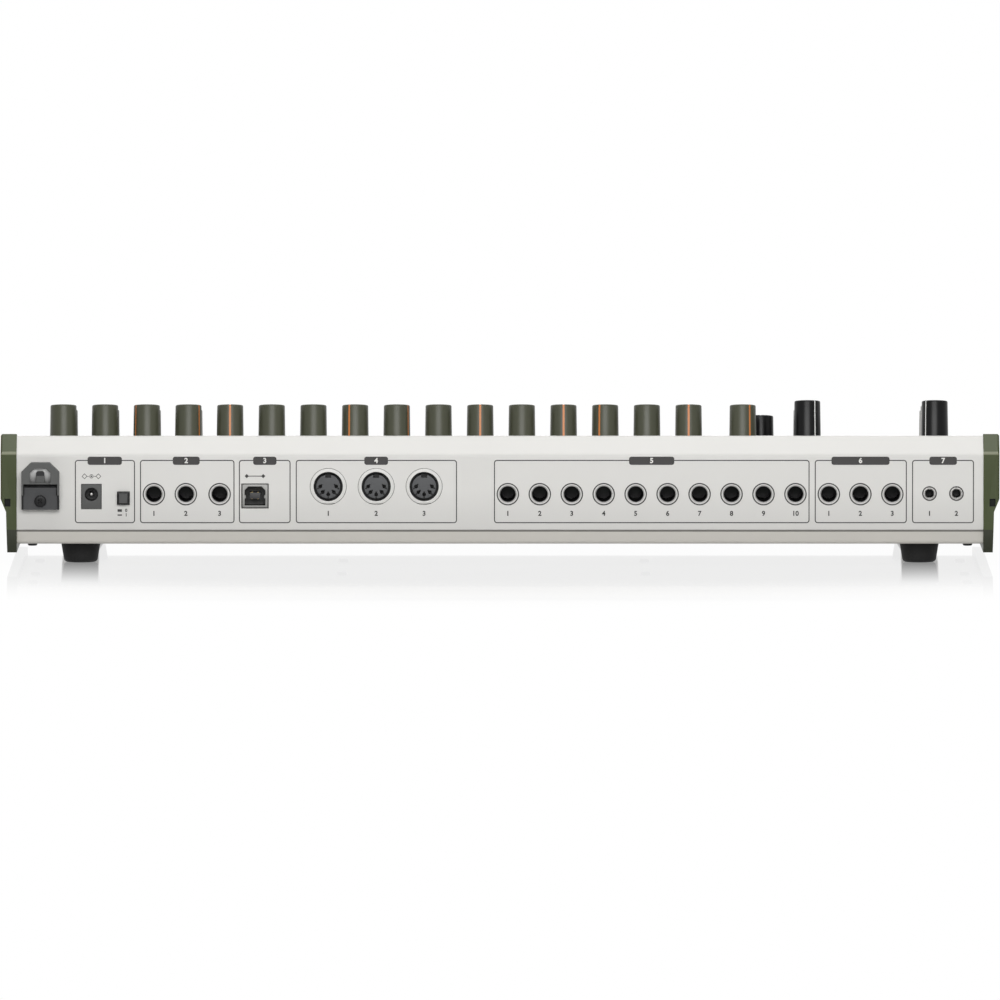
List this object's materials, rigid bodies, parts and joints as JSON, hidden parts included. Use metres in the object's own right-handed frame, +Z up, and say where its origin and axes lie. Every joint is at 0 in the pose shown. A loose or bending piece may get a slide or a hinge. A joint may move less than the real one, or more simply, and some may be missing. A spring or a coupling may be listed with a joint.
{
  "type": "drum machine",
  "caption": "Wedge-shaped desktop drum machine with rows of tall knobs, step keys, a display and a rear panel of sockets.",
  "frame": {"origin": "on the table under the middle of the box that holds the whole machine", "axes": "+Z up, +Y towards the socket panel, -Y towards the player, +X to the player's right"},
  "size_m": [0.497, 0.265, 0.0813],
  "materials": {
    "cover_paint": "fine satin powder coat, warm off-white",
    "tray_paint": "satin powder coat, a shade darker",
    "cheek_plastic": "fine-textured olive moulding",
    "foot_rubber": "matt",
    "black_screw": "black oxide",
    "plated_steel": "zinc plated",
    "circuit_board": "green solder mask",
    "ribbon_plastic": "flat flexible cable",
    "pot_metal": "plated",
    "switch_plastic": "moulded",
    "light_lens": "tinted lens",
    "display_window": "smoked acrylic",
    "display_module": "moulded frame",
    "jack_nose": "light moulded nose on a moulded body",
    "sync_metal": "plated ring nut",
    "midi_shell": "light shell round a grey pin face",
    "usb_shell": "plated shell",
    "dc_plastic": "moulded",
    "clamp_plastic": "moulded, satin",
    "power_plastic": "moulded",
    "key_olive": "moulded",
    "key_black": "moulded",
    "button_grey": "moulded",
    "button_olive": "moulded",
    "key_light": "moulded",
    "key_pale_olive": "moulded",
    "knob_black": "satin, white pointer line",
    "knob_olive": "satin, orange pointer line",
    "knob_grey": "satin, dark pointer line"
  },
  "bodies": {
    "case": {"top_cover": "cover_paint", "bottom_tray": "tray_paint", "right_cheek": "cheek_plastic", "left_cheek": "cheek_plastic", "rubber_feet": "foot_rubber", "case_screws": "black_screw", "case_pillars": "plated_steel", "board_standoffs": "plated_steel", "control_board": "circuit_board", "jack_board": "circuit_board", "ribbon_cable": "ribbon_plastic", "potentiometers": "pot_metal", "key_switches": "switch_plastic", "status_lights": "light_lens", "display_window": "display_window", "display_module": "display_module", "phone_jacks": "jack_nose", "sync_jacks": "sync_metal", "midi_sockets": "midi_shell", "usb_socket": "usb_shell", "dc_jack": "dc_plastic", "power_switch": "switch_plastic", "cord_clamp": "clamp_plastic", "clamp_screw": "black_screw"},
    "power_button": {"power_button": "power_plastic"},
    "start_button": {"start_button": "key_olive"},
    "stop_button": {"stop_button": "key_black"},
    "function_buttons": {"function_buttons": "button_grey"},
    "pattern_buttons": {"pattern_buttons": "button_olive"},
    "step_keys_01_04": {"step_keys_01_04": "key_light"},
    "step_keys_05_08": {"step_keys_05_08": "key_pale_olive"},
    "step_keys_09_12": {"step_keys_09_12": "key_light"},
    "step_keys_13_16": {"step_keys_13_16": "key_pale_olive"},
    "volume_knob": {"volume_knob": "knob_black"},
    "tempo_knob": {"tempo_knob": "knob_black"},
    "data_knob": {"data_knob": "knob_black"},
    "accent_knob": {"accent_knob": "knob_olive"},
    "mix_knob": {"mix_knob": "knob_grey"},
    "drive_knob": {"drive_knob": "knob_grey"},
    "swing_knob": {"swing_knob": "knob_grey"},
    "level_knob_01": {"level_knob_01": "knob_olive"},
    "level_knob_02": {"level_knob_02": "knob_olive"},
    "level_knob_03": {"level_knob_03": "knob_olive"},
    "level_knob_04": {"level_knob_04": "knob_olive"},
    "level_knob_05": {"level_knob_05": "knob_olive"},
    "level_knob_06": {"level_knob_06": "knob_olive"},
    "level_knob_07": {"level_knob_07": "knob_olive"},
    "level_knob_08": {"level_knob_08": "knob_olive"},
    "level_knob_09": {"level_knob_09": "knob_olive"},
    "level_knob_10": {"level_knob_10": "knob_olive"},
    "level_knob_11": {"level_knob_11": "knob_olive"},
    "level_knob_12": {"level_knob_12": "knob_olive"},
    "level_knob_13": {"level_knob_13": "knob_olive"},
    "level_knob_14": {"level_knob_14": "knob_olive"},
    "level_knob_15": {"level_knob_15": "knob_olive"},
    "level_knob_16": {"level_knob_16": "knob_olive"},
    "decay_knob_1": {"decay_knob_1": "knob_olive"},
    "decay_knob_2": {"decay_knob_2": "knob_olive"},
    "decay_knob_3": {"decay_knob_3": "knob_olive"},
    "decay_knob_4": {"decay_knob_4": "knob_olive"}
  },
  "joints": [
    {"name": "volume_knob_turn", "type": "hinge", "parent": "case", "child": "volume_knob", "pos_m": [-0.2167, 0.10262, 0.06227], "axis": [0, -0.1305, 0.9914], "range_deg": [-105, 195]},
    {"name": "tempo_knob_turn", "type": "hinge", "parent": "case", "child": "tempo_knob", "pos_m": [-0.1532, 0.10262, 0.06227], "axis": [0, -0.1305, 0.9914], "range_deg": [-185, 115]},
    {"name": "data_knob_turn", "type": "hinge", "parent": "case", "child": "data_knob", "pos_m": [-0.1302, 0.07288, 0.05836], "axis": [0, -0.1305, 0.9914], "continuous": true},
    {"name": "accent_knob_turn", "type": "hinge", "parent": "case", "child": "accent_knob", "pos_m": [-0.121, 0.10262, 0.06227], "axis": [0, -0.1305, 0.9914], "range_deg": [-182, 118]},
    {"name": "mix_knob_turn", "type": "hinge", "parent": "case", "child": "mix_knob", "pos_m": [-0.2167, 0.07288, 0.05836], "axis": [0, -0.1305, 0.9914], "range_deg": [-160, 140]},
    {"name": "drive_knob_turn", "type": "hinge", "parent": "case", "child": "drive_knob", "pos_m": [-0.2167, 0.04313, 0.05444], "axis": [0, -0.1305, 0.9914], "range_deg": [-290, 10]},
    {"name": "swing_knob_turn", "type": "hinge", "parent": "case", "child": "swing_knob", "pos_m": [-0.1532, 0.07288, 0.05836], "axis": [0, -0.1305, 0.9914], "range_deg": [-150, 150]},
    {"name": "level_knob_01_turn", "type": "hinge", "parent": "case", "child": "level_knob_01", "pos_m": [-0.094, 0.10262, 0.06227], "axis": [0, -0.1305, 0.9914], "range_deg": [-150, 150]},
    {"name": "level_knob_02_turn", "type": "hinge", "parent": "case", "child": "level_knob_02", "pos_m": [-0.07323, 0.10262, 0.06227], "axis": [0, -0.1305, 0.9914], "range_deg": [-20, 280]},
    {"name": "level_knob_03_turn", "type": "hinge", "parent": "case", "child": "level_knob_03", "pos_m": [-0.05245, 0.10262, 0.06227], "axis": [0, -0.1305, 0.9914], "range_deg": [-123, 177]},
    {"name": "level_knob_04_turn", "type": "hinge", "parent": "case", "child": "level_knob_04", "pos_m": [-0.03168, 0.10262, 0.06227], "axis": [0, -0.1305, 0.9914], "range_deg": [-150, 150]},
    {"name": "level_knob_05_turn", "type": "hinge", "parent": "case", "child": "level_knob_05", "pos_m": [-0.01091, 0.10262, 0.06227], "axis": [0, -0.1305, 0.9914], "range_deg": [-300, 0]},
    {"name": "level_knob_06_turn", "type": "hinge", "parent": "case", "child": "level_knob_06", "pos_m": [0.00987, 0.10262, 0.06227], "axis": [0, -0.1305, 0.9914], "range_deg": [-150, 150]},
    {"name": "level_knob_07_turn", "type": "hinge", "parent": "case", "child": "level_knob_07", "pos_m": [0.03064, 0.10262, 0.06227], "axis": [0, -0.1305, 0.9914], "range_deg": [-30, 270]},
    {"name": "level_knob_08_turn", "type": "hinge", "parent": "case", "child": "level_knob_08", "pos_m": [0.05141, 0.10262, 0.06227], "axis": [0, -0.1305, 0.9914], "range_deg": [-210, 90]},
    {"name": "level_knob_09_turn", "type": "hinge", "parent": "case", "child": "level_knob_09", "pos_m": [0.07219, 0.10262, 0.06227], "axis": [0, -0.1305, 0.9914], "range_deg": [-123, 177]},
    {"name": "level_knob_10_turn", "type": "hinge", "parent": "case", "child": "level_knob_10", "pos_m": [0.09296, 0.10262, 0.06227], "axis": [0, -0.1305, 0.9914], "range_deg": [-270, 30]},
    {"name": "level_knob_11_turn", "type": "hinge", "parent": "case", "child": "level_knob_11", "pos_m": [0.11373, 0.10262, 0.06227], "axis": [0, -0.1305, 0.9914], "range_deg": [-290, 10]},
    {"name": "level_knob_12_turn", "type": "hinge", "parent": "case", "child": "level_knob_12", "pos_m": [0.13451, 0.10262, 0.06227], "axis": [0, -0.1305, 0.9914], "range_deg": [-150, 150]},
    {"name": "level_knob_13_turn", "type": "hinge", "parent": "case", "child": "level_knob_13", "pos_m": [0.15528, 0.10262, 0.06227], "axis": [0, -0.1305, 0.9914], "range_deg": [-206, 94]},
    {"name": "level_knob_14_turn", "type": "hinge", "parent": "case", "child": "level_knob_14", "pos_m": [0.17605, 0.10262, 0.06227], "axis": [0, -0.1305, 0.9914], "range_deg": [-93, 207]},
    {"name": "level_knob_15_turn", "type": "hinge", "parent": "case", "child": "level_knob_15", "pos_m": [0.19683, 0.10262, 0.06227], "axis": [0, -0.1305, 0.9914], "range_deg": [-280, 20]},
    {"name": "level_knob_16_turn", "type": "hinge", "parent": "case", "child": "level_knob_16", "pos_m": [0.2176, 0.10262, 0.06227], "axis": [0, -0.1305, 0.9914], "range_deg": [-300, 0]},
    {"name": "decay_knob_1_turn", "type": "hinge", "parent": "case", "child": "decay_knob_1", "pos_m": [0.15528, 0.07288, 0.05836], "axis": [0, -0.1305, 0.9914], "range_deg": [-110, 190]},
    {"name": "decay_knob_2_turn", "type": "hinge", "parent": "case", "child": "decay_knob_2", "pos_m": [0.17605, 0.07288, 0.05836], "axis": [0, -0.1305, 0.9914], "range_deg": [-170, 130]},
    {"name": "decay_knob_3_turn", "type": "hinge", "parent": "case", "child": "decay_knob_3", "pos_m": [0.19683, 0.07288, 0.05836], "axis": [0, -0.1305, 0.9914], "range_deg": [-280, 20]},
    {"name": "decay_knob_4_turn", "type": "hinge", "parent": "case", "child": "decay_knob_4", "pos_m": [0.2176, 0.07288, 0.05836], "axis": [0, -0.1305, 0.9914], "range_deg": [-300, 0]},
    {"name": "start_button_press", "type": "slide", "parent": "case", "child": "start_button", "axis": [0, 0.1305, -0.9914], "range_m": [0, 0.0015], "stiffness_N_per_m": 800, "springref_m": -0.001},
    {"name": "stop_button_press", "type": "slide", "parent": "case", "child": "stop_button", "axis": [0, 0.1305, -0.9914], "range_m": [0, 0.0015], "stiffness_N_per_m": 800, "springref_m": -0.001},
    {"name": "function_buttons_press", "type": "slide", "parent": "case", "child": "function_buttons", "axis": [0, 0.1305, -0.9914], "range_m": [0, 0.001], "stiffness_N_per_m": 800, "springref_m": -0.001},
    {"name": "pattern_buttons_press", "type": "slide", "parent": "case", "child": "pattern_buttons", "axis": [0, 0.1305, -0.9914], "range_m": [0, 0.001], "stiffness_N_per_m": 800, "springref_m": -0.001},
    {"name": "step_keys_01_04_press", "type": "slide", "parent": "case", "child": "step_keys_01_04", "axis": [0, 0.1305, -0.9914], "range_m": [0, 0.0015], "stiffness_N_per_m": 800, "springref_m": -0.001},
    {"name": "step_keys_05_08_press", "type": "slide", "parent": "case", "child": "step_keys_05_08", "axis": [0, 0.1305, -0.9914], "range_m": [0, 0.0015], "stiffness_N_per_m": 800, "springref_m": -0.001},
    {"name": "step_keys_09_12_press", "type": "slide", "parent": "case", "child": "step_keys_09_12", "axis": [0, 0.1305, -0.9914], "range_m": [0, 0.0015], "stiffness_N_per_m": 800, "springref_m": -0.001},
    {"name": "step_keys_13_16_press", "type": "slide", "parent": "case", "child": "step_keys_13_16", "axis": [0, 0.1305, -0.9914], "range_m": [0, 0.0015], "stiffness_N_per_m": 800, "springref_m": -0.001},
    {"name": "power_button_press", "type": "slide", "parent": "case", "child": "power_button", "axis": [0, -1, 0], "range_m": [0, 0.003], "stiffness_N_per_m": 400, "springref_m": -0.001}
  ]
}
